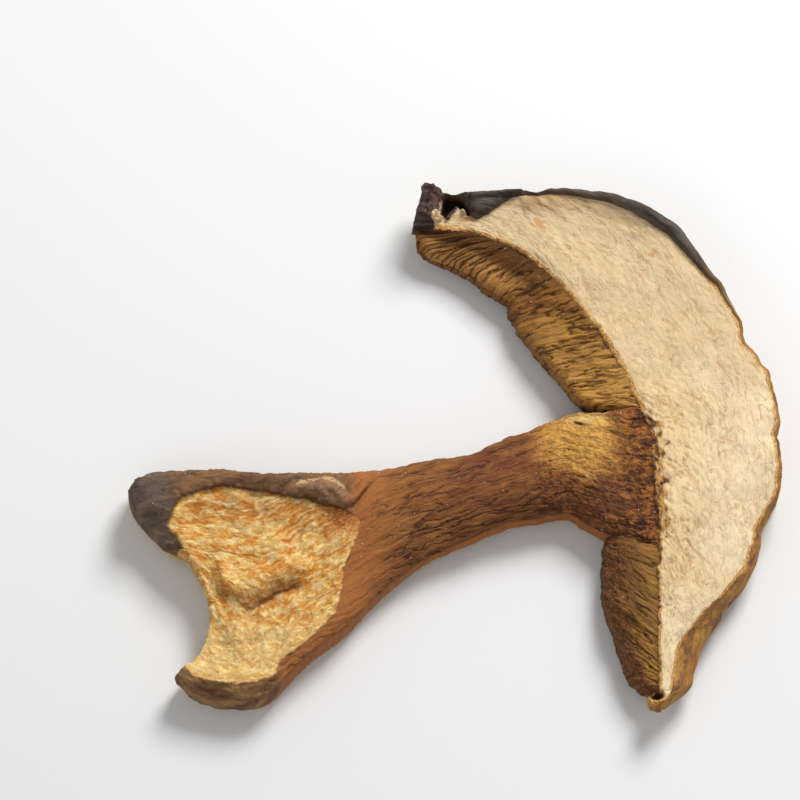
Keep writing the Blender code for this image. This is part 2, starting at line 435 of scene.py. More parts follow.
def wire(maker, shader, colour, roughness, bump, strength, depth, shine):
    normal = maker.add("ShaderNodeBump", {}, {"Strength": strength, "Distance": depth, "Height": bump})
    for key, value in (("Base Color", colour), ("Roughness", roughness), ("Normal", normal)):
        maker.tree.links.new(value.out, shader.inputs[key])
    shader.inputs["Specular IOR Level"].default_value = shine


# cap: the crescent of flesh with its skin
capShape = {
    "rings": 480,
    "faceSteps": 104,
    "skinSteps": 22,
    "backSteps": 30,
    "wallSteps": 10,
    "dish": 0.5,
    "flatShare": 3 / 7,
    # inner x, y, outer x, y, skin x, y, top in, top out, back in, back out
    "stations": (
        (-6.3, 37.4, -4.6, 43.9, -4.9, 44.4, 7.2, 8.0, 3.5, 4.5),
        (-1.0, 37.0, -0.4, 42.8, -0.4, 43.4, 7.0, 7.6, 2.5, 3.5),
        (4.0, 36.0, 4.5, 42.9, 4.5, 43.6, 7.2, 7.7, 1.5, 3.0),
        (9.5, 33.6, 10.0, 43.2, 10.0, 43.8, 7.6, 7.8, 0.5, 2.5),
        (14.5, 29.8, 15.5, 43.3, 15.5, 44.0, 8.0, 8.2, 0.0, 2.5),
        (18.0, 25.8, 23.0, 42.9, 23.0, 43.5, 8.4, 8.4, 0.0, 2.5),
        (20.5, 22.5, 30.7, 40.3, 31.0, 40.8, 8.6, 8.4, 0.0, 2.5),
        (23.0, 19.0, 36.7, 35.8, 37.0, 36.3, 8.9, 8.2, 0.0, 2.5),
        (25.5, 15.0, 42.2, 27.8, 42.6, 28.1, 9.1, 7.8, 0.0, 2.0),
        (27.5, 11.0, 45.8, 21.8, 46.1, 22.1, 9.2, 7.5, 0.0, 2.0),
        (29.0, 7.0, 48.8, 14.8, 49.1, 15.2, 9.4, 7.2, 0.0, 2.0),
        (31.0, 2.5, 51.3, 8.2, 51.6, 8.6, 9.5, 7.2, 0.0, 2.0),
        (31.5, -2.5, 51.7, 1.0, 51.9, 1.4, 9.8, 7.2, 0.0, 2.0),
        (32.0, -8.5, 51.8, -6.5, 52.1, -6.0, 9.8, 7.2, 0.0, 2.0),
        (32.5, -14.0, 49.2, -12.5, 49.7, -12.5, 9.5, 7.0, 0.0, 1.5),
        (32.5, -20.0, 46.8, -19.5, 48.0, -19.0, 9.0, 7.0, 0.0, 1.5),
        (32.5, -26.0, 43.4, -25.0, 45.5, -24.0, 8.5, 7.0, 0.0, 1.0),
        (32.5, -32.0, 37.6, -31.5, 41.2, -30.5, 8.0, 7.0, 0.5, 1.0),
        (32.5, -37.5, 35.3, -38.0, 38.3, -36.6, 7.5, 6.5, 1.0, 1.5),
        (32.6, -40.2, 34.7, -41.0, 37.4, -39.8, 7.2, 6.6, 1.6, 1.8),
        (31.1, -42.0, 33.8, -42.7, 34.8, -42.1, 7.0, 6.4, 3.2, 3.2),
        (31.1, -43.6, 32.3, -43.8, 32.6, -43.7, 6.7, 6.2, 4.2, 4.2),
    ),
    # place along the stations, width and height of the skin's lip over the face
    "lip": (
        (0.0, 1.2, 0.3), (1.6, 1.2, 0.4), (2.3, 1.1, 0.5), (3.0, 0.9, 0.5), (4.0, 1.0, 0.6),
        (5.0, 1.6, 0.9), (5.5, 1.85, 1.1), (6.0, 2.2, 1.25), (6.6, 2.4, 1.3), (7.0, 2.3, 1.2),
        (7.5, 1.6, 0.9), (8.0, 1.0, 0.6), (8.5, 0.6, 0.3), (9.0, 0.45, 0.2), (10.0, 0.4, 0.15),
        (14.0, 0.4, 0.1), (21.0, 0.4, 0.1),
    ),
    # the far tip: folds of the scroll (x, lean, half width, height), the dark hollow beside it,
    # the flap folded over the face, and the curls and crumbs in front of them
    "roll": ((-5.2, 0.26, 1.2, 2.4), (-3.5, 0.22, 0.95, 2.0)),
    "hollow": [(-2.2, 39.6), (-1.9, 41.6), (-0.8, 42.5), (0.8, 42.2), (1.8, 41.2), (2.9, 39.7), (2.2, 39.8),
               (1.2, 40.6), (0.2, 41.0), (-0.7, 39.7), (-1.4, 39.2)],
    "flap": [(0.2, 43.2), (1.1, 42.3), (1.8, 41.2), (2.2, 40.2), (3.0, 38.9), (3.7, 38.7), (4.6, 39.2),
             (6.0, 40.0), (7.6, 41.1), (9.0, 42.0), (10.6, 42.9), (11.0, 43.6), (6.0, 43.8)],
    "dents": ((13.2, 1.4, 0.8), (22.0, 1.2, 0.25), (27.5, 1.0, 0.2)),  # x, half width, depth in the rim
    "curl": [(-0.9, 40.9), (0.1, 41.2), (0.5, 40.7), (-0.2, 39.6), (-0.9, 38.6), (-1.5, 38.7), (-1.3, 39.8)],
    "crumbs": [[(-3.6, 39.3), (-2.6, 39.7), (-1.8, 39.5), (-1.9, 38.6), (-2.6, 38.2), (-3.7, 38.3)],
               [(1.0, 40.2), (1.6, 40.6), (2.0, 40.0), (1.5, 39.7)]],
    # bites out of the rim on the long side: y, half width, depth
    "bites": ((37.0, 2.0, -0.4), (27.0, 1.6, -0.3), (18.8, 2.0, 1.0), (12.6, 1.0, -0.35), (4.6, 1.2, -0.3),
              (2.2, 1.0, 0.6), (-3.0, 1.4, -0.2), (-13.4, 1.5, 0.4), (-27.2, 2.2, 0.7), (-33.5, 3.0, 0.55)),
    # soft spots, as centre x, y, half width, half height
    "cup": (31.9, -42.0, 1.05, 0.85),  # the small dark cup at the near tip
    "rusty": (2.2, 39.0, 1.7, 0.4),
    # how far each form stands up or sinks
    "rises": {
        "edge": -0.45, "behindLip": 0.8, "lipCrease": -0.18, "hollow": -2.6, "flap": 1.7, "curl": 1.3,
        "crumbs": 0.9, "cup": -1.7, "hook": 0.5, "under": -0.7,
    },
    # rough lines and swells, each as rows of height, size, seed
    "crumble": ((0.14, 0.9, 3), (0.10, 0.35, 8), (0.15, 3.0, 5)),
    "nicks": ((0.3, 2.2, 11), (0.16, 0.7, 13)),
    "wobble": ((0.22, 1.0, 31.0), (0.1, 0.4, 33.0)),
    "swells": ((0.35, 9.0, 1.0),),
    "rimSwells": ((0.5, 5.0, 21.0),),
}


def makeCap():
    shape = capShape
    places, along = evenPlaces(shape["stations"], shape["rings"])
    row = spline(shape["stations"], places)
    inner, outer, skin = row[:, 0:2], row[:, 2:4], row[:, 4:6]
    topIn, topOut, backIn, backOut = (row[:, k][:, None] for k in (6, 7, 8, 9))
    lipWidth, lipHeight = (
        np.interp(places, [r[0] for r in shape["lip"]], [r[k] for r in shape["lip"]])[:, None]
        for k in (1, 2))
    place = places[:, None]
    reach = outer - inner
    width = np.hypot(*reach.T)[:, None]
    bite = sum(depth * bell(outer[:, 1], at, half) for at, half, depth in shape["bites"])
    bite = (bite * ease(outer[:, 0], 33.0, 36.0))[:, None]
    outer, skin = outer - reach / width * bite, skin - reach / width * bite
    reach = outer - inner
    width = np.hypot(*reach.T)[:, None]

    # the cut edge crumbles a little, and the rim is nicked
    crumble = wander(along, shape["crumble"])
    nick = wander(along, shape["nicks"]) * ease(places, 7.6, 8.4)

    u = np.linspace(0, 1, shape["faceSteps"] + 1)[None, :]
    toTubes = -reach / width
    x, y = across(inner, reach, u)
    shift = crumble[:, None] * (1 - u) ** 10 - nick[:, None] * u**10
    x = x + toTubes[:, :1] * shift
    y = y + toTubes[:, 1:] * shift
    for at, halfWidth, depth in shape["dents"]:
        y = y - depth * bell(x, at, halfWidth) * u**12 * ease(y, 30, 34)
    fromInner, fromRim = u * width, (1 - u) * width

    z = topIn + (topOut - topIn) * u
    z = z - shape["dish"] * np.sin(np.pi * u) * np.clip(width / 15, 0, 1)
    rises = shape["rises"]
    z = z + uneven(x, y, shape["swells"]) * ease(fromInner, 0, 2)
    byStem = ease(place, 10.0, 10.9) * ease(place, 14.6, 13.9)
    z = z + rises["edge"] * np.exp(-fromInner / 0.35) * (1 - 0.8 * byStem)
    z = z + rises["behindLip"] * ease(fromRim, 4.2, 1.0) * ease(place, 2.8, 3.4) * ease(place, 7.4, 6.2)
    z = z + uneven(x, y, shape["rimSwells"]) * ease(fromRim, 3.0, 0.0) * ease(place, 9.5, 11.0)
    half = lipWidth / 2
    z = z + lipHeight * halfRound(fromRim, half, half)
    z = z + rises["lipCrease"] * np.exp(-np.abs(fromRim - lipWidth) / 0.25) * ease(place, 1.9, 2.2)
    onLip = ease(fromRim, lipWidth + 0.12, lipWidth - 0.12)

    # the far tip: a scroll of dark skin, a hollow, and a flap folded over the face
    wobble = uneven(x, y, shape["wobble"])
    scroll = ease(x - 0.24 * (y - 40) + wobble, -2.5, -2.9)
    for centre, lean, halfWidth, height in shape["roll"]:
        ridge = halfRound(x - lean * (y - 40) + 0.5 * wobble, centre, halfWidth)
        z = z + height * ridge * scroll * ease(y, 37.3, 38.8) * (1 + 0.25 * field(x, y, 2.2, 35.0))
    z = z - 0.3 * scroll * np.abs(field(x, y, 0.9, 37.0))
    hollow = ease(outlineDistance(x, y, shape["hollow"]) + 0.6 * wobble, -0.35, 0.5)
    flapIn = outlineDistance(x, y, shape["flap"]) + 0.35 * wobble
    flap = ease(flapIn, -0.06, 0.06)
    curlIn = outlineDistance(x, y, shape["curl"]) + 0.2 * wobble
    curl = ease(curlIn, -0.06, 0.06)
    crumbs = np.max([ease(outlineDistance(x, y, c) + 0.7 * wobble, -0.08, 0.08)
                     for c in shape["crumbs"]], 0)
    z = z + rises["hollow"] * hollow * (1 - flap)
    flapShare = np.clip(flapIn / 1.5, 0, 1)
    z = z + rises["flap"] * np.sqrt(flapShare * (2 - flapShare))
    z = z + rises["curl"] * np.sqrt(np.clip(curlIn / 0.5, 0, 1)) + rises["crumbs"] * crumbs
    dark = np.clip(hollow * (1 - flap) * (1 - curl), 0, 1)
    tipSkin = np.maximum(np.maximum(scroll, flap), np.maximum(hollow, curl)) * (1 - crumbs)
    # the near tip curls into a small dark cup
    cx, cy, cw, ch = shape["cup"]
    around = np.sqrt(((x - cx) / cw) ** 2 + ((y - cy) / ch) ** 2)
    cup = np.exp(-(around**4))
    hook = bell(around, 1.5, 0.4) * ease(y, -41.2, -42.2)
    under = ease(around, 2.3, 1.6) * ease(y, -42.2, -41.4) * ease(x, 32.9, 32.1)
    curled = ease(x + 0.25 * field(x, y, 0.8, 131.0), 33.5, 32.8) * ease(y, -40.7, -41.5)
    z = z + rises["cup"] * cup + rises["hook"] * hook + rises["under"] * under
    face = np.stack([x, y, z], 2)

    # the skin side bulges out between the rim and the back edge
    w = innerShares(shape["skinSteps"])
    rim = face[:, -1:, :]
    backEdge = np.concatenate([outer, backOut], 1)[:, None, :]
    bulge = np.concatenate([skin, (topOut + backOut) / 2 - 0.3], 1)[:, None, :]
    pull = 2 * bulge - (rim + backEdge) / 2
    side = (1 - w) ** 2 * rim + 2 * w * (1 - w) * pull + w**2 * backEdge

    v = np.linspace(1, 0, shape["backSteps"] + 1)[None, :]
    rise = np.clip((v - shape["flatShare"]) / (1 - shape["flatShare"]), 0, 1) ** 2
    bx, by = across(inner, reach, v)
    bz = backIn + (backOut - backIn) * rise
    bz = np.maximum(bz, 0) + 0.12 * np.abs(field(bx, by, 4.0, 51.0))
    back = np.stack([bx, by, bz], 2)

    q = innerShares(shape["wallSteps"])
    low, high = back[:, -1:, :], face[:, :1, :]
    wall = low + (high - low) * q
    wall[:, :, :2] += toTubes[:, None, :] * 0.5 * np.sin(np.pi * q)

    ring, counts, shares = joinParts(face, side, back, wall, u, v)
    step = np.diff(ring, axis=1, prepend=ring[:, :1, :])
    sweep = np.cumsum(np.hypot(step[:, :, 0], step[:, :, 1]) + np.abs(step[:, :, 2]) * 0.7, 1)
    flow = np.stack([np.broadcast_to(along[:, None], sweep.shape), sweep, ring[:, :, 2]], 2)

    goldWidth = 0.9 - 0.4 * ease(place, 13.5, 15.0)
    gold = np.maximum(ease(fromInner, goldWidth, goldWidth - 0.4) * (1 - 0.75 * byStem),
                      ease(fromRim, lipWidth + 0.9, lipWidth + 0.1) * ease(place, 6.6, 8.0) * (1 - onLip))
    gold = np.maximum(gold * (1 - ease(place, 18.9, 19.3)), curled) * (1 - scroll)
    # tan tone plus painted shade on the flesh that slopes up to the lip; the curled near tip is tan too
    tanned = ease(fromRim, 5.0, lipWidth) * ease(place, 2.9, 3.6) * ease(place, 5.2, 4.0)
    masks = {
        "front": 1,
        "skin": (np.maximum(onLip, tipSkin), 1, 0, ease(place, 1.0, 0.7)),
        "brown": (ease(place, 6.8, 10.5), ease(place, 6.8, 10.5), 0, 0),
        "gold": (gold, 0, 0, 1),
        # painted shade: dark in the far tip's hollow under the flap, in the near tip's cup and under its hook
        "hollow": np.maximum(dark, np.maximum(0.7 * ease(cup, 0.1, 0.9), 0.4 * under)),
        "rusty": blot(x, y, shape["rusty"]) * (1 - flap),
        "scroll": (np.maximum(scroll, curl), 0, 0, ease(place, 1.0, 0.7)),
        "stained": (byStem * ease(fromInner + 1.2 * field(x, y, 1.2, 61.0), 3.2, 0.4), 0, 0, byStem),
        "fan": ease(fromInner, 11.0, 3.0) * ease(place, 8.5, 10.8) * ease(place, 18.0, 14.5),
        "shade": ease(place, 12.5, 8.0),
        "tanned": np.maximum(tanned, curled),
    }
    ends = (((-1.0, 0.0), 0.6), ((0.2, -1.0), 0.5))
    solid = (("skin",), ("skin", "brown"))
    return closedPiece("cap_flesh_and_skin", ring, counts, shares, flow, masks, ends, solid)


def capHeights(maker, group):
    flow, skin = maker.flow(), maker.mask("skin")
    bare = 1 - skin
    warped = maker.warped(flow, 2.2, 1.6)
    soft = (maker.noise(flow, 5.0, detail=1.0) - 0.5) * group["soft"]
    puffs = maker.puff(warped, 3.6, (1.8, 1, 1))
    small = maker.puff(warped, 1.2, (1.7, 1, 1), shift=4.0)
    fanned = maker.turned(warped, -32.0)
    fold = maker.creases(fanned, 1.2, 0.06, (5.0, 1, 1), shift=3.1) * maker.mask("fan")
    crack = maker.creases(warped, 5.0, 0.012, (2.6, 1, 1), detail=3.0, shift=9.7)
    rough = (maker.noise(flow, 0.32, (1.5, 1, 1), shift=5.0) - 0.5) * group["edge"]
    rough = rough * maker.mask("gold")
    grain = (maker.puff(warped, 1.6, (3.5, 1, 1), detail=3.0) - 0.5) * group["skin"] * skin
    pits = maker.specks(flow, 3.4, 0.03, 0.07) * 0.12 * maker.mask("front")
    crinkles = puffs * group["puff"] + small * group["small"]
    height = (soft + crinkles - fold * group["fold"] - crack * group["crack"] - pits) * bare + rough + grain
    crease = ((1 - small) * 0.35 + (1 - puffs) * 0.25 + fold * 0.45 + crack * 0.3) * bare + (1 - bare) * 0.2
    return height, crease


capRelief = {"soft": 0.9, "puff": 0.2, "small": 0.12, "fold": 0.28, "crack": 0.14, "edge": 0.3, "skin": 0.2}


def capMaterial():
    material, maker, shader = newMaterial("cap_flesh")
    flow, crease, mask = maker.flow(), maker.mask("crease"), maker.mask
    warped = maker.warped(flow, 2.2, 1.6)
    slack = maker.warped(flow, 5.0, 2.4)
    broad = maker.noise(flow, 8.0)
    small = maker.noise(warped, 1.3, (1.5, 1, 1), detail=4.0, rough=0.65)
    fine = maker.noise(flow, 0.38, (1.5, 1, 1), detail=3.0, rough=0.65)
    rust = maker.noise(warped, 2.0, detail=4.0, rough=0.6, shift=7.7).ease(0.6, 0.74)
    line = maker.creases(warped, 1.6, 0.018, (2.6, 1, 1), detail=4.0, rough=0.6, shift=23.0)
    patch = maker.noise(warped, 3.5, detail=3.0, rough=0.6, shift=12.0)
    thread = maker.creases(slack, 3.0, 0.014, (3.2, 1, 1), shift=29.0)
    ash = maker.noise(warped, 3.0, (2.0, 1, 1), detail=4.0, rough=0.6, shift=17.0).ease(0.62, 0.78)
    crumb = maker.noise(flow, 0.3, (1.5, 1, 1), detail=3.0, rough=0.7, shift=5.0)
    spots = maker.noise(warped, 1.0, (1.6, 1, 1), detail=4.0, rough=0.7, shift=2.2)
    streak = maker.noise(warped, 1.3, (4.0, 1, 1), detail=4.0, rough=0.65)

    cream = maker.layers(
        maker.mix(broad.ease(0.35, 0.65), (243, 223, 182), (236, 211, 167)),
        (mask("shade") * 0.7, (213, 185, 140)),
        (small.ease(0.5, 0.75) * 0.3, (216, 184, 138)),
        (small.ease(0.45, 0.25) * 0.4, (247, 231, 196)),
        (fine.ease(0.52, 0.72) * 0.28, (210, 168, 118)),
        (fine.ease(0.42, 0.26) * 0.3, (250, 236, 206)),
        (mask("fan") * 0.45, (228, 192, 134)),
        # tan tone and painted shade below the lip
        (mask("tanned") * small.ease(0.25, 0.6) * 0.8, (190, 142, 86)),
        # painted shade: the flesh darkens in its creases
        (crease.ease(0.3, 1.1) * 0.5, (184, 134, 84)),
        (rust * 0.65, (204, 144, 88)),
        (line * 0.3, (170, 124, 82)),
        (thread * patch.ease(0.4, 0.6) * 0.5, (166, 116, 76)),
        (mask("rusty") * 0.8, (150, 84, 48)),
        (ash * 0.3, (166, 136, 108)),
        (maker.specks(flow, 3.4, 0.02, 0.05) * 0.75, (92, 58, 40)))
    golden = maker.mix(crumb.ease(0.38, 0.62), (178, 118, 54), (228, 188, 120))
    stained = maker.mix(spots.ease(0.42, 0.58), (196, 146, 82), (84, 52, 36))
    scroll = maker.mix(streak.ease(0.35, 0.65), (50, 34, 32), (112, 84, 76))
    grey = maker.mix(streak.ease(0.3, 0.7), (58, 46, 40), (106, 92, 80))
    grey = maker.mix(mask("scroll") * 0.8, grey, scroll)
    brown = maker.mix(streak.ease(0.3, 0.7), (146, 96, 44), (194, 142, 70))
    brown = maker.mix(patch.ease(0.46, 0.62) * 0.8, brown, (108, 74, 52))
    skin = (mask("skin") + (fine - 0.5) * 0.5).ease(0.3, 0.7)
    colour = maker.layers(
        cream,
        ((mask("gold") + (small - 0.5) * 1.2).ease(0.35, 0.75), golden),
        ((mask("stained") + (small - 0.5) * 1.4).ease(0.3, 0.95), stained),
        (skin, maker.mix(mask("brown"), grey, brown)),
        # painted shade: brown then near black in the hollow, the cup and under the hook
        (mask("hollow").ease(0.0, 0.35), (104, 66, 38)),
        (mask("hollow").ease(0.25, 0.85), (30, 20, 17)))
    bump = small + fine + streak * skin * 0.6 - thread * 0.3 - line * 0.2
    wire(maker, shader, colour, skin * -0.12 + 0.84, bump, 0.65, 0.00024, 0.28)
    return material


# tube layer: two arms of fine tubes
tubes = {
    "tuckedIn": 0.8,  # the tubes start this far under the edge of the flesh
    "fray": ((0.2, 1.4, 71), (0.05, 0.35, 73)),
    "swells": ((0.4, 5.0, 81.0),),
    "bulge": 0.5,
    "endRadius": 0.8,
}
longArm = {
    "rings": 300, "faceSteps": 46, "skinSteps": 12, "backSteps": 20, "wallSteps": 8,
    "lean": 7.0,
    # place on the cap's edge, pore edge x, y, top at the cap, at the pores, back
    "stations": (
        (0.05, -6.0, 36.4, 6.5, 5.8, 3.5), (0.5, -5.6, 35.2, 6.4, 5.2, 3.0),
        (1.3, -4.6, 33.6, 6.5, 4.8, 2.2), (1.9, -2.0, 32.5, 6.6, 4.6, 1.5),
        (2.4, 0.8, 31.3, 6.6, 4.6, 1.0), (3.0, 4.2, 29.0, 6.9, 4.6, 0.6),
        (3.6, 6.6, 27.3, 7.2, 4.6, 0.5), (4.2, 8.6, 25.9, 7.4, 4.7, 0.5),
        (5.0, 9.4, 23.4, 7.6, 4.9, 0.5), (5.9, 10.8, 20.9, 7.8, 5.1, 0.5),
        (6.8, 12.4, 18.5, 8.0, 5.3, 0.5), (7.6, 14.4, 15.6, 8.1, 5.5, 0.5),
        (8.3, 16.2, 13.5, 8.2, 5.8, 0.5), (9.0, 18.3, 11.0, 8.4, 6.2, 0.5),
        (9.7, 20.4, 8.4, 8.6, 6.8, 0.5), (10.2, 23.6, 6.6, 8.8, 7.6, 0.5),
    ),
}
shortArm = {
    "rings": 190, "faceSteps": 46, "skinSteps": 12, "backSteps": 20, "wallSteps": 8,
    "lean": 0.0,
    "stations": (
        (13.6, 25.2, -13.6, 7.0, 5.2, 0.5), (14.4, 24.2, -15.2, 7.5, 5.3, 0.5),
        (15.8, 23.8, -18.0, 7.8, 5.2, 0.5), (16.6, 23.5, -22.5, 7.4, 5.0, 0.5),
        (17.2, 24.0, -26.5, 7.0, 5.0, 0.5), (17.8, 25.5, -31.0, 6.6, 5.0, 0.5),
        (18.4, 27.0, -36.0, 6.2, 4.8, 1.0), (18.75, 27.8, -38.2, 6.0, 4.7, 1.6),
        (18.9, 28.5, -39.2, 5.8, 4.6, 1.8), (19.05, 29.7, -40.1, 5.7, 4.8, 1.9),
    ),
}


def makeArm(name, shape, poreSlope):
    places, along = evenPlaces(
        [(*spline(capShape["stations"], np.array([r[0]]))[0, :2], *r[1:3]) for r in shape["stations"]],
        shape["rings"])
    row = spline(shape["stations"], places)
    inner = spline(capShape["stations"], row[:, 0])[:, :2]
    pores = row[:, 1:3]
    topIn, topOut, backZ = (row[:, k][:, None] for k in (3, 4, 5))
    reach = pores - inner
    width = np.hypot(*reach.T)[:, None]
    inner = inner - reach / width * tubes["tuckedIn"]
    pores = pores + reach / width * wander(along, tubes["fray"])[:, None]
    reach = pores - inner
    width = np.hypot(*reach.T)[:, None]

    u = np.linspace(0, 1, shape["faceSteps"] + 1)[None, :]
    x, y = across(inner, reach, u)
    fall = u ** 1.2
    if poreSlope:  # the cut face stays high, then the pore side falls away
        fall = 0.25 * u + 0.75 * ease(u, poreSlope, 1.05)
    z = topIn + 0.45 + (topOut - topIn - 0.3) * fall
    fromPores = (1 - u) * width
    z = z - 0.7 * np.exp(-fromPores / 0.5)
    z = z + uneven(x, y, tubes["swells"]) - 0.8 * ease(u * width, 0.95, 0.35)
    face = np.stack([x, y, z], 2)

    w = innerShares(shape["skinSteps"])
    edge = face[:, -1:, :]
    under = np.concatenate([pores, backZ], 1)[:, None, :]
    side = edge + (under - edge) * w
    side[:, :, :2] += (reach / width)[:, None, :] * tubes["bulge"] * np.sin(np.pi * w)

    v = np.linspace(1, 0, shape["backSteps"] + 1)[None, :]
    bx, by = across(inner, reach, v)
    bz = np.broadcast_to(backZ, bx.shape) + 0.1 * np.abs(field(bx, by, 3.0, 83.0))
    back = np.stack([bx, by, bz], 2)
    low, high = back[:, -1:, :], face[:, :1, :]
    wall = low + (high - low) * innerShares(shape["wallSteps"])
    ring, counts, shares = joinParts(face, side, back, wall, u, v)

    # flow: across the tubes, along the tubes, height; near the cap the tubes lean over
    bend = shape["lean"] * (1 - shares[None, :]) ** 2 * ease(places, 7.0, 2.0)[:, None]
    flow = np.stack([along[:, None] - bend, shares[None, :] * width, ring[:, :, 2] * 0.5], 2)

    share = (places / (len(shape["stations"]) - 1))[:, None]
    lowerSide = np.where(np.linspace(0, 1, counts[1]) > 0.5, 1, 0.2)
    byStem = 0.6 * ease(share, 0.5, 0.7) + 0.5 * ease(share, 0.75, 0.88)
    masks = {
        "front": (1, 1, 0, 0),
        "pore": (ease(u + 0.2 * field(x, y, 1.5, 85.0), 0.3, 0.8) if poreSlope else 0 * u,
                       1 if poreSlope else 0.35, 0, 0),
        "shadow": (ease(u * width, 1.8, 0.3), 0, 0, 1),
        "pale": ease(u, 0.45, 0.6) * ease(share, 0.5, 0.4) * (0 if poreSlope else 1),
        "dusk": ease(u, 0.66, 0.5) * ease(share, 0.6, 0.4),
        "light": (0.45 * ease(u, 0.8, 0.1), 0, 0, 0) if poreSlope else (byStem, byStem, 0, 0),
        "rim": (0.6 * ease(share, 0.12, 0.04), lowerSide, 0, 0),
    }
    outs = (pores[0] - pores[1], pores[-1] - pores[-2])
    ends = [(out / np.hypot(*out), tubes["endRadius"]) for out in outs]
    return closedPiece(name, ring, counts, shares, flow, masks, ends)


def tubeHeights(maker, group):
    flow, pore = maker.flow(), maker.mask("pore")
    warped = maker.warped(flow, 1.8, 0.9)
    ripple = maker.puff(warped, 1.3, (1, 9.0, 3), detail=3.0, rough=0.55)
    thread = maker.puff(warped, 0.6, (1, 10.0, 2), shift=8.0)
    cleft = maker.creases(warped, 1.5, 0.035, (1, 6.0, 3), shift=4.4)
    lump = (maker.noise(flow, 2.6, (1, 1.4, 1), shift=11.0) - 0.5) * group["lump"]
    pit = (maker.noise(flow, 0.5, (1, 1.2, 1), rough=0.6) - 0.5) * group["pit"] * pore
    strands = ripple * group["ripple"] + thread * group["thread"] - cleft * group["cleft"]
    height = strands * (1 - pore * 0.55) + pit + lump
    crease = ((1 - ripple) * 0.55 + (1 - thread) * 0.4 + cleft) * (1 - pore * 0.5)
    return height, crease


tubeRelief = {"ripple": 0.34, "thread": 0.16, "cleft": 0.28, "lump": 0.8, "pit": 0.6}


def tubeMaterial():
    material, maker, shader = newMaterial("tube_layer")
    flow, crease, mask = maker.flow(), maker.mask("crease"), maker.mask
    warped = maker.warped(flow, 1.8, 0.9)
    strands = maker.noise(warped, 0.32, (1, 12.0, 2), detail=4.0, rough=0.7)
    grain = maker.noise(flow, 0.24, (1, 1.8, 1), detail=3.0, rough=0.7)
    broad = maker.noise(flow, 4.0, (1, 1.6, 1), detail=3.0, shift=6.0)
    pores = maker.noise(flow, 0.55, (1, 1.3, 1), detail=4.0, rough=0.75)
    clear = 1 - mask("light") * 0.3  # painted crease shade is fainter on the lighter tubes
    colour = maker.layers(
        maker.mix(strands.ease(0.32, 0.66), (106, 62, 24), (168, 114, 52)),
        (broad.ease(0.42, 0.68) * 0.6, (176, 122, 54)),
        (broad.ease(0.45, 0.28) * 0.5, (92, 54, 30)),
        (mask("pale") * strands.ease(0.25, 0.6) * 0.8, (204, 148, 84)),
        (mask("dusk") * 0.7, (82, 48, 20)),
        (mask("light") * strands.ease(0.25, 0.6), (208, 156, 78)),
        (grain.ease(0.55, 0.75) * 0.4, (196, 150, 88)),
        (mask("shadow") * 0.55, (84, 46, 20)),
        (mask("pore") * 0.85, maker.mix(pores.ease(0.38, 0.62), (62, 36, 24), (136, 88, 50))),
        # painted shade: dark in the creases between the tubes
        (crease.ease(0.55, 1.5) * 0.72 * clear, (52, 28, 15)),
        (mask("rim") * 0.6, (64, 38, 26)))
    bump = strands + grain * 0.7 + pores * 0.4
    wire(maker, shader, colour, strands * -0.1 + 0.84, bump, 0.8, 0.00025, 0.25)
    return material


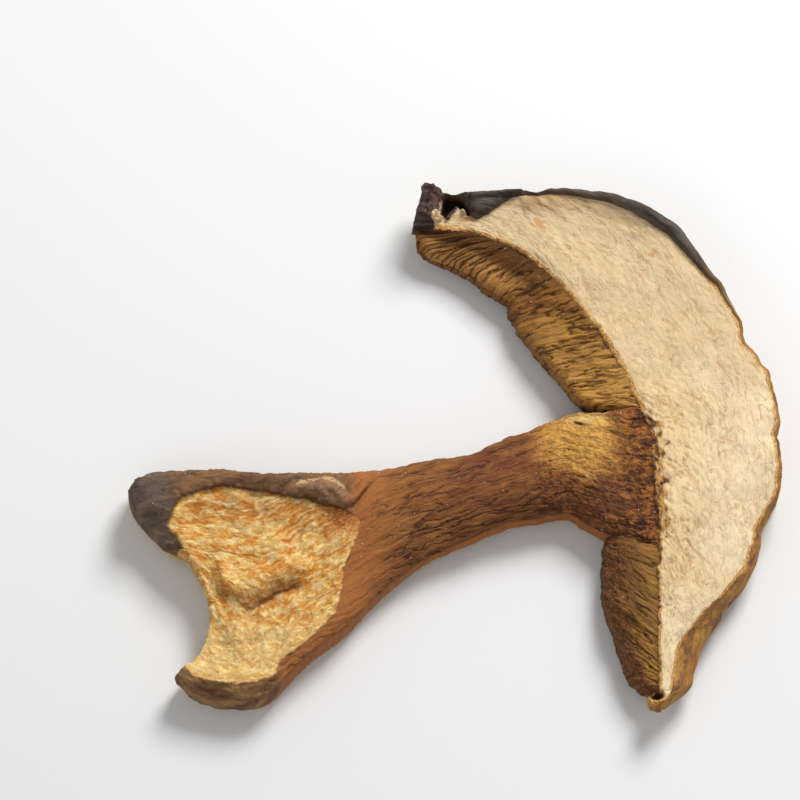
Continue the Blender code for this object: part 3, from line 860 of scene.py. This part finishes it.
# stem: round bark in the middle, cut open at the swollen foot
stemShape = {
    "rings": 395,
    "faceSteps": 166,
    "sideSteps": 10,
    "backSteps": 30,
    # far x, y, near x, y, top far, top near, dome, bow, back
    "stations": (
        (31.4, 6.6, 33.4, -17.4, 9.0, 8.6, 0.4, 0.6, 0.4),
        (28.2, 6.0, 30.6, -16.6, 8.4, 7.8, 1.0, 0.5, 0.4),
        (25.0, 5.6, 27.4, -15.4, 7.6, 6.6, 1.9, 0.2, 0.4),
        (21.8, 5.8, 24.0, -14.0, 6.6, 5.6, 3.0, 0.0, 0.5),
        (19.3, 5.6, 21.4, -12.6, 5.8, 5.0, 3.8, 0.0, 0.5),
        (17.0, 5.0, 18.0, -10.6, 5.6, 4.8, 4.0, 0.0, 1.0),
        (13.5, 3.4, 14.5, -11.0, 5.4, 4.8, 4.0, 0.0, 1.5),
        (10.0, 2.0, 10.0, -12.0, 5.4, 4.8, 4.0, 0.0, 2.0),
        (5.5, 0.2, 5.0, -13.6, 5.4, 4.8, 4.0, 0.0, 2.0),
        (1.5, -1.2, 0.0, -15.6, 5.4, 4.8, 4.0, 0.0, 2.0),
        (-5.0, -2.2, -5.0, -18.2, 5.4, 4.6, 4.0, 0.0, 1.5),
        (-9.5, -3.2, -9.0, -21.2, 5.4, 4.6, 4.0, 0.0, 1.0),
        (-14.5, -4.2, -13.5, -25.4, 5.8, 4.6, 3.7, 0.0, 0.5),
        (-18.5, -5.0, -17.5, -30.0, 6.3, 4.6, 3.2, 0.0, 0.2),
        (-22.5, -5.0, -22.0, -33.6, 6.6, 5.0, 2.6, 0.6, 0.2),
        (-26.5, -5.2, -25.6, -37.0, 6.8, 5.2, 2.0, 1.2, 0.2),
        (-30.5, -5.2, -28.8, -40.4, 7.0, 5.4, 1.5, 1.8, 0.2),
        (-35.5, -4.8, -32.0, -41.8, 7.0, 5.4, 1.0, 2.6, 0.2),
        (-39.8, -4.4, -35.2, -42.0, 7.0, 5.4, 0.6, 3.6, 0.2),
        (-43.6, -4.4, -38.4, -41.8, 6.8, 5.4, 0.3, 4.6, 0.2),
        (-46.8, -4.7, -41.6, -40.8, 6.4, 5.2, 0.0, 5.8, 0.5),
        (-49.4, -5.4, -44.0, -38.6, 5.8, 5.0, 0.0, 6.6, 1.2),
    ),
    # how the foot's end bends in and out, from its near corner to its far corner
    "end": ((0.0, 0.0), (0.04, 0.2), (0.07, 0.45), (0.13, 0.7), (0.193, 0.86), (0.253, 0.98),
            (0.316, 1.08), (0.398, 1.1), (0.5, 0.97), (0.57, 0.84), (0.62, 0.66), (0.645, 0.38),
            (0.68, 0.22), (0.72, 0.08), (0.756, -0.04), (0.79, -0.18), (0.82, -0.28), (0.86, -0.34),
            (0.91, -0.35), (0.955, -0.3), (1.0, -0.12)),
    # outline of the foot's cut face
    "cut": [(-16.4, -12.2), (-15.4, -14.7), (-17.6, -20.5), (-18.3, -25.1), (-19.7, -29.0),
            (-25.0, -34.1), (-27.8, -36.3), (-28.8, -38.7), (-33.6, -40.0), (-37.9, -39.6),
            (-42.0, -38.4), (-44.5, -34.0), (-44.5, -26.8), (-43.8, -19.8), (-43.4, -17.5), (-44.2, -15.6),
            (-45.4, -14.4), (-45.4, -12.8), (-44.6, -10.6), (-43.9, -9.2), (-41.8, -8.5), (-38.6, -7.5),
            (-36.0, -7.5), (-29.3, -8.6), (-21.3, -10.4)],
    # outline of the wrinkled knob where the flange meets the stem
    "knob": [(-25.2, -7.6), (-23.6, -6.6), (-22.2, -6.0), (-20.4, -5.8), (-18.8, -6.4), (-17.6, -7.6),
             (-16.8, -9.2), (-17.0, -10.7), (-18.4, -11.0), (-20.4, -10.3), (-22.2, -9.7), (-24.0, -9.0)],
    # line of the fold across the foot's neck
    "fold": ((-40.0, -23.2), (-38.4, -24.4), (-37.3, -25.2), (-35.5, -26.8), (-32.8, -27.4),
             (-30.7, -26.6), (-29.2, -25.4), (-27.5, -24.4), (-25.8, -23.8), (-23.0, -23.4), (-20.0, -23.4)),
    # how far each form stands up or sinks
    "rises": {"belly": 1.8, "foldLine": -0.7, "hollow": -0.9, "knob": 1.1, "tuck": -0.8, "slit": -0.5},
    # rough lines and swells, each as rows of height, size, seed
    "wobble": ((0.25, 5.0, 91), (0.12, 1.6, 93)),
    "ragged": ((0.18, 1.0, 97.0), (0.1, 0.4, 99.0)),
    "swells": ((0.35, 6.0, 95.0),),
    "cutSwells": ((0.3, 3.0, 103.0),),
    # soft spots, as centre x, y, half width, half height
    "lobe": (-48.6, -10.4, 4.2, 5.2),
    "slit": (19.9, 3.4, 1.0, 0.22),
    "gold": (20.5, 0.5, 8.5, 7.0),
    "strip": (20.8, 4.4, 3.8, 0.9),
    "corner": (-17.6, -12.9, 3.6, 2.6),
    "red": (8.0, -1.6, 6.5, 3.2),
}


def makeStem():
    shape = stemShape
    places, along = evenPlaces(shape["stations"], shape["rings"])
    row = spline(shape["stations"], places)
    far, near = row[:, 0:2], row[:, 2:4]
    topFar, topNear, dome, bow, backZ = (row[:, k][:, None] for k in (4, 5, 6, 7, 8))
    reach = far - near
    width = np.hypot(*reach.T)[:, None]

    v = np.linspace(0, 1, shape["faceSteps"] + 1)
    t = (0.45 * v + 0.55 * (1 - np.cos(np.pi * v)) / 2)[None, :]
    endCurve = spline(shape["end"], np.linspace(0, len(shape["end"]) - 1, 400)).T
    endShape = np.interp(t, *endCurve)
    x = near[:, :1] + reach[:, :1] * t + bow * endShape
    y = near[:, 1:] + reach[:, 1:] * t
    wobble = wander(along, shape["wobble"])
    y = y + wobble[:, None] * np.abs(2 * t - 1) ** 3
    z = topNear + (topFar - topNear) * t + dome * np.sqrt(np.clip(1 - (2 * t - 1) ** 2, 0, 1))
    z = z + uneven(x, y, shape["swells"])

    # the knife's plane through the swollen foot
    ragged = uneven(x, y, shape["ragged"])
    inside = outlineDistance(x, y, shape["cut"]) + ragged
    cut = ease(inside, -0.12, 0.12)
    rises = shape["rises"]
    plane = 7.7 + 0.03 * (x + 30) + 0.035 * (y + 22)
    foldCurve = spline(shape["fold"], np.linspace(0, len(shape["fold"]) - 1, 300)).T
    down = np.interp(x, *foldCurve) - y + 0.25 * field(x, y, 2.0, 101.0)
    fade = ease(x, -39.5, -36.5) * ease(x, -22.0, -26.5)
    crisp = ease(x, -34.5, -30.5)
    above, line = rises["belly"], rises["foldLine"]
    belly = above * bell(down, -3.0, 2.5) + line * crisp * bell(down, 0, 0.7)
    throat = above * bell(0, -3.0, 2.5) * bell(down, 0, 1.5) + line * crisp * bell(down, 0, 1.1)
    rise = 0.5 * bell(down, 4.0, 2.4)
    swell = fade * (np.where(down < 0, belly, throat) + rise)
    cutZ = plane + rises["hollow"] * ease(inside, 0.2, 5.0) + swell + uneven(x, y, shape["cutSwells"])
    outside = np.maximum(-inside, 0)
    inFoot = ease(x, -12.0, -16.0)
    flangeZone = ease(y, -13.5, -11.0) * ease(x, -15.0, -18.0)
    lowZone = ease(y, -35.5, -37.5) * ease(x, -26.5, -29.0)
    barkZ = z - (z - (plane - 0.25)) * np.exp(-outside / 2.6) * inFoot
    flangeZ = plane + 0.15 + 1.0 * halfRound(outside, 1.5, 1.6) - 0.22 * np.maximum(outside - 2.0, 0) ** 1.4
    lobe = blot(x, y, shape["lobe"])
    flangeZ = flangeZ * (1 - lobe) + (7.6 + 1.2 * lobe) * lobe
    lowZ = plane + 0.5 * halfRound(outside, 0.9, 1.1) - 0.5 * outside
    outZ = barkZ * (1 - flangeZone) + flangeZ * flangeZone
    outZ = outZ * (1 - lowZone) + lowZ * lowZone
    knobIn = outlineDistance(x, y, shape["knob"]) + 0.25 * field(x, y, 0.9, 111.0)
    knob = ease(knobIn, -0.1, 0.3)
    knobRim = ease(knobIn, -0.3, 0.0) * ease(knobIn, 0.8, 0.45) * ease(y, -8.4, -7.4)
    tuck = bell(x - 0.73 * (y + 11), -16.6, 0.45) * ease(y, -11.8, -10.8) * ease(y, -5.4, -8.0)
    knobShape = np.sqrt(np.clip(knobIn / 1.5, 0, 1)) * (0.8 + 0.4 * field(x, y, 1.3, 113.0))
    outZ = outZ + rises["knob"] * knobShape + rises["tuck"] * tuck
    slit = blot(x, y + 0.3 * (x - 19.9), shape["slit"])
    z = outZ * (1 - cut) + cutZ * cut + rises["slit"] * slit
    face = np.stack([x, y, z], 2)

    w = innerShares(shape["sideSteps"])

    def sideWall(upper, lower, out):
        wall = upper + (lower - upper) * w
        wall[:, :, :2] += out[:, None, :] * 0.55 * np.sin(np.pi * w)
        return wall

    s = np.linspace(1, 0, shape["backSteps"] + 1)[None, :]
    bx = near[:, :1] + reach[:, :1] * s + bow * np.interp(s, *endCurve)
    by = near[:, 1:] + reach[:, 1:] * s + wobble[:, None] * np.abs(2 * s - 1) ** 3
    bz = np.broadcast_to(backZ, bx.shape) + 0.15 * np.abs(field(bx, by, 4.0, 105.0))
    back = np.stack([bx, by, bz], 2)
    out = reach / width
    farSide = sideWall(face[:, -1:, :], back[:, :1, :], out)
    nearSide = sideWall(back[:, -1:, :], face[:, :1, :], -out)
    ring, counts, shares = joinParts(face, farSide, back, nearSide, t, s)

    step = np.diff(ring, axis=1, prepend=ring[:, :1, :])
    sweep = np.cumsum(np.sqrt((step**2).sum(2)), 1)
    sweep = sweep - sweep[:, counts[0] // 2][:, None]
    flow = np.stack([np.broadcast_to(along[:, None], sweep.shape), sweep, ring[:, :, 2] * 0.3], 2)
    grey = np.maximum(np.maximum(flangeZone, lobe), ease(x, -41.5, -43.2) * ease(y, -20.0, -18.5)) * (1 - cut)
    seam = bell(inside, -0.08, 0.15)
    # painted shade along the fold line on the foot's cut face, softer just above it
    folded = fade * (crisp * bell(down, 0, 0.4) + 0.5 * bell(down, -1.0, 1.5))
    masks = {
        "back": (0, 0, 1, 0),
        "cut": cut,
        "grey": (grey, ease(x[:, -1:], -15, -18), 0, 0),
        "lobe": (ease(x, -43.5, -46.0) * (1 - cut), ease(x[:, -1:], -43, -46), 0, 0),
        "lowRim": (lowZone * (1 - cut), 0, 0, ease(x[:, :1], -26.5, -29.0)),
        "knob": knob * (1 - cut),
        "knobRim": knobRim * (1 - cut),
        "smooth": (ease(x, -6.0, -15.0), 0, 0, 1),
        "gold": blot(x, y, shape["gold"]),
        "strip": blot(x, y, shape["strip"]),
        "mottle": ease(x + 0.12 * y + 1.5 * field(x, y, 2.0, 107.0), 23.5, 28.0),
        "crackle": ease(x, 7.0, 15.0),
        "neck": ease(y, -27.0, -33.0),
        # painted shade: dark in the seam under the flange, in the tuck by the knob and in the slit
        "gap": 0.8 * seam * flangeZone + 0.6 * tuck + slit,
        "folded": folded,
        "corner": blot(x, y, shape["corner"]),
        "red": blot(x, y, shape["red"]),
        "deep": ease(inside, 0.2, 2.0) * ease(y, -14.0, -10.0),
    }
    lobeEnd = np.interp(t[0], (0, 0.6, 0.7, 0.95, 1), (0.4, 0.4, 0.8, 0.9, 0.9))
    ends = (((1.0, 0.0), 0.5), ((-1.0, -0.1), lobeEnd))
    return closedPiece("stem_bark_and_foot", ring, counts, shares, flow, masks, ends)


def stemHeights(maker, group):
    flow, cut, crackle = maker.flow(), maker.mask("cut"), maker.mask("crackle")
    grey, back = maker.mask("grey"), maker.mask("back")
    bark = (1 - cut) * (1 - grey * 0.5) * (1 - back * 0.7)
    warped = maker.warped(flow, 2.4, 1.5)
    ridge = maker.puff(warped, 1.9, (8.0, 1, 1), rough=0.55)
    groove = maker.creases(warped, 1.5, 0.035, (6.0, 1, 1), detail=3.0, shift=4.0)
    groove = groove * (1 - maker.mask("smooth") * 0.5)
    crack = maker.creases(warped, 1.5, 0.05, (1, 2.4, 1), detail=3.0, rough=0.6, shift=14.0)
    crack = crack.larger(maker.creases(warped, 1.7, 0.04, (2.0, 1, 1), detail=3.0, shift=27.0)) * crackle
    lump = (maker.noise(flow, 0.7, detail=3.0, rough=0.65) - 0.5) * group["lump"] * maker.mask("mottle")
    fibreFlow = maker.warped(flow, 1.6, 1.8)
    fibre = maker.puff(fibreFlow, 0.8, (2.6, 1, 1), rough=0.6, shift=2.0)
    bump = maker.noise(flow, 3.2, shift=21.0) - 0.5
    wrinkle = maker.puff(warped, 1.1, (1.6, 1, 1), detail=3.0, shift=5.0) * group["hide"] * grey * (1 - cut)
    little = maker.puff(warped, 0.55, (3.0, 1, 1), shift=9.0)
    height = (ridge * group["ridge"] - groove * group["groove"] + little * group["little"]) * bark
    height = height - crack * group["crack"] * bark
    height = height + lump + fibre * group["fibre"] * cut + bump * group["bump"] * (0.5 + cut * 0.5) + wrinkle
    crease = ((1 - ridge) * 0.35 + groove * 0.8 + crack * 0.6 + (1 - little) * 0.3) * bark
    crease = crease + (1 - fibre) * 0.6 * cut
    return height, crease


stemRelief = {
    "ridge": 0.26, "groove": 0.18, "crack": 0.15, "little": 0.1, "lump": 0.6, "fibre": 0.3, "bump": 0.8,
    "hide": 0.3,
}


def stemMaterial():
    material, maker, shader = newMaterial("stem_bark")
    flow, crease, mask = maker.flow(), maker.mask("crease"), maker.mask
    cut = mask("cut")
    warped = maker.warped(flow, 2.4, 1.5)
    strokeFlow = maker.warped(flow, 1.6, 1.8)
    streak = maker.noise(warped, 0.55, (8.0, 1, 1), detail=4.0, rough=0.65)
    broad = maker.noise(flow, 6.0, (1.6, 1, 1), detail=3.0)
    patch = maker.noise(warped, 2.4, (2.0, 1, 1), detail=4.0, rough=0.6, shift=31.0)
    fine = maker.noise(flow, 0.26, (1.8, 1, 1), detail=3.0, rough=0.7)
    spots = maker.noise(warped, 1.1, (1.4, 1, 1), detail=4.0, rough=0.7, shift=2.2)
    stroke = maker.noise(strokeFlow, 0.62, (3.2, 1, 1), detail=4.0, rough=0.62, shift=2.0)
    dapple = maker.noise(strokeFlow, 1.6, (1.6, 1, 1), detail=3.0, rough=0.6, shift=41.0)

    gold = mask("gold") * 1.1 + (patch - 0.5) * 0.9
    # how much fainter the painted crease shade is over the gold
    goldShadeFade = mask("gold").ease(0.2, 0.8) * 0.45
    bark = maker.layers(
        maker.mix(streak.ease(0.3, 0.68), (100, 58, 28), (156, 102, 50)),
        (broad.ease(0.42, 0.62) * 0.45, (112, 60, 38)),
        (mask("red") * patch.ease(0.35, 0.55) * 0.75, (104, 52, 36)),
        (patch.ease(0.52, 0.72) * 0.55, (174, 116, 54)),
        (mask("smooth") * 0.7, (182, 114, 60)),
        (fine.ease(0.56, 0.76) * 0.35, (184, 130, 72)),
        (gold.ease(0.1, 0.5) * 0.7, (168, 108, 50)),
        (gold.ease(0.3, 0.85) * 0.9, maker.mix(fine.ease(0.3, 0.7), (196, 134, 54), (232, 184, 96))),
        (mask("strip") * 0.8, (232, 198, 124)),
        (mask("mottle") * 0.85, maker.mix(spots.ease(0.4, 0.58), (178, 112, 48), (78, 42, 28))),
        # painted shade: dark in the bark's creases, fainter over the gold
        (crease.ease(0.45, 1.2) * 0.65 * (1 - goldShadeFade), (58, 29, 15)))

    low = 1 - mask("neck") * 0.6
    tawny = maker.layers(
        maker.mix(dapple.ease(0.35, 0.62), (222, 152, 58), (244, 204, 116)),
        (mask("deep") * 0.7, (208, 124, 36)),
        (mask("neck") * 0.7, (252, 220, 142)),
        (stroke.ease(0.49, 0.38) * 0.7 * low, (192, 112, 36)),
        (dapple.ease(0.5, 0.66) * 0.5, (250, 226, 160)),
        (stroke.ease(0.5, 0.64) * 0.78, (254, 234, 172)),
        (mask("corner") * fine.ease(0.4, 0.56), (142, 66, 26)),
        (mask("corner") * 0.5, (196, 110, 44)),
        (fine.ease(0.56, 0.74) * 0.3, (166, 92, 30)),
        # painted shade: darker orange in the creases between the fibres
        (crease.ease(0.25, 0.65) * 0.45, (174, 98, 34)),
        # painted shade at the fold
        (mask("folded") * 0.8, (134, 74, 28)))

    hide = maker.layers(
        maker.mix(patch.ease(0.3, 0.7), (92, 66, 44), (150, 108, 70)),
        (mask("lobe") * 0.85, maker.mix(patch.ease(0.4, 0.7), (80, 66, 62), (126, 108, 88))),
        (fine.ease(0.5, 0.75) * 0.35, (156, 130, 100)),
        (mask("knob") * fine.ease(0.3, 0.6) * 0.7, (156, 120, 92)),
        (mask("knobRim") * fine.ease(0.3, 0.55), (204, 168, 124)))
    colour = maker.layers(
        bark,
        (mask("grey"), hide),
        (mask("lowRim"), maker.mix(patch.ease(0.3, 0.66), (100, 66, 40), (160, 122, 76))),
        (cut, tawny),
        # painted shade in the seam, the tuck and the slit
        (mask("gap"), (52, 28, 16)),
        (mask("back"), maker.mix(streak.ease(0.3, 0.7), (206, 172, 118), (230, 204, 156))))
    bump = streak * 0.8 + fine + stroke * cut
    wire(maker, shader, colour, streak * -0.1 + 0.82, bump, 0.75, 0.00022, 0.28)
    return material


# grit: grains stuck to the bark and the tubes
grit = {"perSquareMm": 0.035, "size": 0.16, "seed": 4, "upward": 0.35}


def makeGrit(hosts):
    material, maker, shader = newMaterial("grit")
    glint = maker.noise(maker.add("ShaderNodeTexCoord", output="Object"), 0.0004)
    colour = maker.mix(glint, (196, 180, 160), (250, 246, 238))
    maker.tree.links.new(colour.out, shader.inputs["Base Color"])
    shader.inputs["Roughness"].default_value = 0.35
    joined = bmesh.new()
    for host in hosts:
        joined.from_mesh(host.data)
    mesh = bpy.data.meshes.new("grit")
    joined.to_mesh(mesh)
    joined.free()
    piece = bpy.data.objects.new("grit", mesh)
    bpy.context.scene.collection.objects.link(piece)
    maker, group = newTree("gritScatter", {"density": 0.0, "size": 0.0, "material": material})
    up = maker.add("ShaderNodeSeparateXYZ", {}, {0: maker.add("GeometryNodeInputNormal")}, "Z")
    upward = maker.add("FunctionNodeCompare", {"operation": "GREATER_THAN"}, {"A": up, "B": grit["upward"]})
    points = maker.add(
        "GeometryNodeDistributePointsOnFaces", {"distribute_method": "RANDOM"},
        {"Mesh": group["Geometry"], "Selection": upward, "Density": group["density"] * 1e6,
         "Seed": grit["seed"]}, "Points")
    grain = maker.add("GeometryNodeMeshIcoSphere", {}, {"Radius": 1.0, "Subdivisions": 2}, "Mesh")
    scale = maker.add("FunctionNodeRandomValue", {"data_type": "FLOAT_VECTOR"},
                      {"Min": (0.3, 0.3, 0.25), "Max": (1.0, 0.8, 0.6), "Seed": grit["seed"] + 1})
    sized = maker.add("ShaderNodeVectorMath", {"operation": "SCALE"},
                      {0: scale, "Scale": group["size"] * mm}, "Vector")
    turn = maker.add("FunctionNodeRandomValue", {"data_type": "FLOAT_VECTOR"},
                     {"Min": (0, 0, 0), "Max": (3, 3, 3), "Seed": grit["seed"] + 2})
    placed = maker.add("GeometryNodeInstanceOnPoints", {},
                       {"Points": points, "Instance": grain, "Rotation": turn, "Scale": sized}, "Instances")
    paint(maker, placed, group)
    settle(piece, maker.tree, {"density": grit["perSquareMm"], "size": grit["size"], "material": material})
    return piece


# stage
stage = {
    "look": (-8.8, 7.42, 8.0),
    "elevation": 70.0,
    "lens": 500.0,
    "distance": 1777.8,
    "floor": 1.2,
    "lights": (
        # name, azimuth, elevation, distance, size, watts
        ("key", 30.0, 44.0, 0.7, 0.28, 4.6),
        ("fill", 215.0, 50.0, 0.8, 0.6, 0.6),
    ),
    "sky": 0.36,
}


def setStage():
    scene = bpy.context.scene
    target = Vector(stage["look"]) * mm
    tilt = math.radians(stage["elevation"])
    camera = bpy.data.cameras.new("camera")
    camera.lens = stage["lens"]
    camera.clip_start = 0.01
    holder = bpy.data.objects.new("camera", camera)
    away = Vector((0, -math.cos(tilt), math.sin(tilt)))
    holder.location = target + away * stage["distance"] * mm
    holder.rotation_euler = (-away).to_track_quat("-Z", "Y").to_euler()
    scene.collection.objects.link(holder)
    scene.camera = holder

    for name, azimuth, elevation, distance, size, watts in stage["lights"]:
        lamp = bpy.data.lights.new(name, "AREA")
        lamp.size, lamp.energy = size, watts
        light = bpy.data.objects.new(name, lamp)
        turn, rise = math.radians(azimuth), math.radians(elevation)
        way = Vector((math.sin(turn) * math.cos(rise), math.cos(turn) * math.cos(rise), math.sin(rise)))
        light.location = way * distance
        light.rotation_euler = (-way).to_track_quat("-Z", "Y").to_euler()
        scene.collection.objects.link(light)

    world = bpy.data.worlds.new("studio")
    world.use_nodes = True
    world.node_tree.nodes["Background"].inputs["Color"].default_value = (1, 1, 1, 1)
    world.node_tree.nodes["Background"].inputs["Strength"].default_value = stage["sky"]
    scene.world = world
    scene.view_settings.view_transform = "Standard"

    bpy.ops.mesh.primitive_plane_add(size=stage["floor"])
    floor = bpy.context.object
    floor.name = "floor"
    material, maker, shader = newMaterial("floor_paper")
    shader.inputs["Base Color"].default_value = (0.86, 0.86, 0.86, 1)
    shader.inputs["Roughness"].default_value = 0.9
    floor.data.materials.append(material)


# build
def finishPiece(piece, node):
    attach(piece, "root")
    if node:
        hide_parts(node)
    print(piece.name, len(piece.data.polygons), "faces,", len(piece.data.materials), "material")


setStage()
print("stage set")
cap = makeCap()
capInputs = dict(capRelief, material=capMaterial())
settle(cap, reliefTree("capRelief", capInputs, capHeights), capInputs)
finishPiece(cap, "cap")
tubeInputs = dict(tubeRelief, material=tubeMaterial())
armTree = reliefTree("tubeRelief", tubeInputs, tubeHeights)
longPiece = makeArm("tubes_long_arm", longArm, 0)
settle(longPiece, armTree, tubeInputs)
finishPiece(longPiece, "tube_layer_long_arm")
shortPiece = makeArm("tubes_short_arm", shortArm, 0.5)
settle(shortPiece, armTree, tubeInputs)
finishPiece(shortPiece, "tube_layer_short_arm")
stem = makeStem()
stemInputs = dict(stemRelief, material=stemMaterial())
settle(stem, reliefTree("stemRelief", stemInputs, stemHeights), stemInputs)
finishPiece(stem, "stem")
grains = makeGrit((stem, longPiece, shortPiece))
finishPiece(grains, None)
